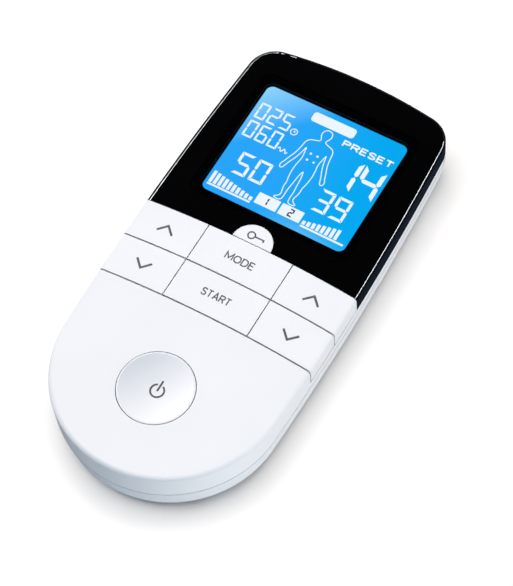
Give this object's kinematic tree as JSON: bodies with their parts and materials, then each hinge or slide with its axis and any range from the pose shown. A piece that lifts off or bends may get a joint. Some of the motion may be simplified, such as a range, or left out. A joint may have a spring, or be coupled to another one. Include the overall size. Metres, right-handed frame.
{
  "type": "tens unit",
  "caption": "Hand-held two-channel nerve stimulator: white rounded body, glossy black display end with a backlit display, arced key rows and a round dished power button.",
  "frame": {"origin": "centre of the body's bounding box in plan, in the plane of the back face", "axes": "+Z from the back face to the front with display and keys, +Y along the body towards the display end, +X to the right seen from the front"},
  "size_m": [0.0634, 0.1304, 0.0205],
  "materials": {
    "white_shell": "smooth moulded, satin gloss",
    "white_key": "smooth moulded, satin gloss, grey printed symbols",
    "rear_shell": "smooth moulded, satin gloss",
    "black_cover": "high gloss",
    "clear_pane": "clear, polished",
    "black_foam": "closed-cell foam",
    "black_frame": "fine matt",
    "display_glass": "lit display with white segments",
    "light_guide": "diffusing",
    "connector_strip": "elastomer",
    "board": "solder resist",
    "switch_black": "moulded",
    "chip_black": "moulded",
    "can_metal": "drawn can",
    "ferrite": "sintered core with taped winding",
    "socket_black": "moulded",
    "contact_metal": "nickel plated spring strip",
    "cell_wrap": "plain printed sleeve",
    "screw_steel": "zinc plated"
  },
  "bodies": {
    "housing": {"front_housing": "white_shell", "rear_housing": "rear_shell", "display_cover": "black_cover", "display_window": "clear_pane", "window_gasket": "black_foam", "display_gasket": "black_foam", "lcd_frame": "black_frame", "lcd_glass": "display_glass", "lcd_backlight": "light_guide", "lcd_connector": "connector_strip", "main_board": "board", "key_switches": "switch_black", "microcontroller": "chip_black", "board_chips": "chip_black", "buzzer": "chip_black", "quartz_crystal": "can_metal", "output_transformers": "ferrite", "storage_capacitors": "can_metal", "output_socket_left": "socket_black", "output_socket_right": "socket_black", "socket_contacts": "contact_metal", "battery_left": "cell_wrap", "battery_middle": "cell_wrap", "battery_right": "cell_wrap", "battery_plates": "contact_metal", "battery_springs": "contact_metal", "housing_screws": "screw_steel", "board_screws": "screw_steel"},
    "key_left_up": {"key_left_up": "white_key"},
    "key_left_down": {"key_left_down": "white_key"},
    "key_mode": {"key_mode": "white_key"},
    "key_start": {"key_start": "white_key"},
    "key_right_up": {"key_right_up": "white_key"},
    "key_right_down": {"key_right_down": "white_key"},
    "key_lock": {"key_lock": "white_key"},
    "power_button": {"power_button": "white_key"},
    "battery_cover": {"battery_cover": "rear_shell"}
  },
  "joints": [
    {"name": "key_left_up_press", "type": "slide", "parent": "housing", "child": "key_left_up", "axis": [0, 0, -1], "range_m": [0, 0.00025], "stiffness_N_per_m": 400, "springref_m": -0.0003},
    {"name": "key_left_down_press", "type": "slide", "parent": "housing", "child": "key_left_down", "axis": [0, 0, -1], "range_m": [0, 0.00025], "stiffness_N_per_m": 400, "springref_m": -0.0003},
    {"name": "key_mode_press", "type": "slide", "parent": "housing", "child": "key_mode", "axis": [0, 0, -1], "range_m": [0, 0.00025], "stiffness_N_per_m": 400, "springref_m": -0.0003},
    {"name": "key_start_press", "type": "slide", "parent": "housing", "child": "key_start", "axis": [0, 0, -1], "range_m": [0, 0.00025], "stiffness_N_per_m": 400, "springref_m": -0.0003},
    {"name": "key_right_up_press", "type": "slide", "parent": "housing", "child": "key_right_up", "axis": [0, 0, -1], "range_m": [0, 0.00025], "stiffness_N_per_m": 400, "springref_m": -0.0003},
    {"name": "key_right_down_press", "type": "slide", "parent": "housing", "child": "key_right_down", "axis": [0, 0, -1], "range_m": [0, 0.00025], "stiffness_N_per_m": 400, "springref_m": -0.0003},
    {"name": "key_lock_press", "type": "slide", "parent": "housing", "child": "key_lock", "axis": [0, 0, -1], "range_m": [0, 0.00025], "stiffness_N_per_m": 400, "springref_m": -0.0003},
    {"name": "power_button_press", "type": "slide", "parent": "housing", "child": "power_button", "axis": [0, 0, -1], "range_m": [0, 0.00025], "stiffness_N_per_m": 400, "springref_m": -0.0003},
    {"name": "battery_cover_slide", "type": "slide", "parent": "housing", "child": "battery_cover", "axis": [0, -1, 0], "range_m": [0, 0.05]}
  ]
}
